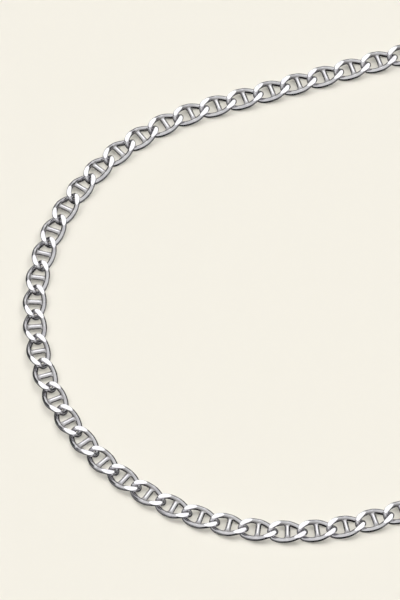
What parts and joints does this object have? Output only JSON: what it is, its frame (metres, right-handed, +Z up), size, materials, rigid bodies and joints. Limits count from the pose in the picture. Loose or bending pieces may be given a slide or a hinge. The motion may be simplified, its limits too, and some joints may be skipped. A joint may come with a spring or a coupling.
{
  "type": "mariner link chain necklace",
  "caption": "Silver flat-cut mariner link necklace, closed with a plain box clasp, lying flat as a long loop; each twisted oval link has a bar across its middle.",
  "frame": {"origin": "middle of the loop, on the surface that the chain lies on", "axes": "+Z up, +Y from the front of the necklace to its clasp, +X to the right with the clasp away from the viewer"},
  "size_m": [0.1284, 0.1849, 0.0027],
  "materials": {
    "link_silver": "polished silver with flat-cut faces",
    "clasp_silver": "polished silver"
  },
  "bodies": {
    "root": {"front_links": "link_silver", "back_links": "link_silver", "clasp": "clasp_silver"}
  },
  "joints": []
}
